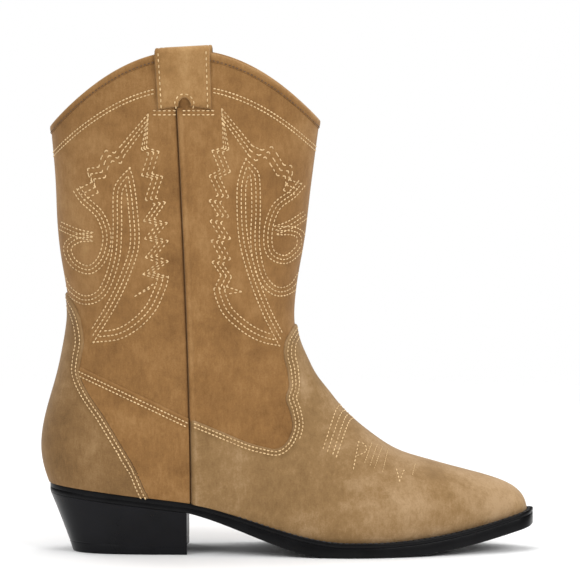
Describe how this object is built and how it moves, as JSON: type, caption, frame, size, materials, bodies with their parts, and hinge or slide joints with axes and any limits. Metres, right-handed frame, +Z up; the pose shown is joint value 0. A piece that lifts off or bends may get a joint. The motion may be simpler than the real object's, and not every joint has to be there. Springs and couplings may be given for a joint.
{
  "type": "cowboy boot",
  "caption": "Mid-calf western boot: hollow suede shaft and foot with scalloped collar, side pull straps, overlaid vamp and counter, slanted block heel and pointed toe.",
  "frame": {"origin": "on the floor, at the middle of the heel's flat foot", "axes": "+X towards the toe, +Y towards the inner side of the right foot, +Z up; the boot stands on z = 0 on its heel and the ball of its sole"},
  "size_m": [0.2806, 0.0924, 0.2883],
  "materials": {
    "suede_shaft": "tan suede, matte with a short nap and cream stitching",
    "suede_overlay": "lighter khaki-tan suede, matte, slightly blotched",
    "welt_black": "satin black",
    "sole_black": "satin black",
    "heel_black": "smooth satin black",
    "insole_board": "smooth tan sock lining"
  },
  "bodies": {
    "root": {"upper": "suede_shaft", "vamp": "suede_overlay", "heel_counter": "suede_overlay", "collar_binding": "suede_shaft", "pull_tab_lateral": "suede_overlay", "pull_tab_medial": "suede_overlay", "side_piping_lateral": "suede_shaft", "side_piping_medial": "suede_shaft", "welt": "welt_black", "outsole": "sole_black", "heel": "heel_black", "insole": "insole_board"}
  },
  "joints": []
}
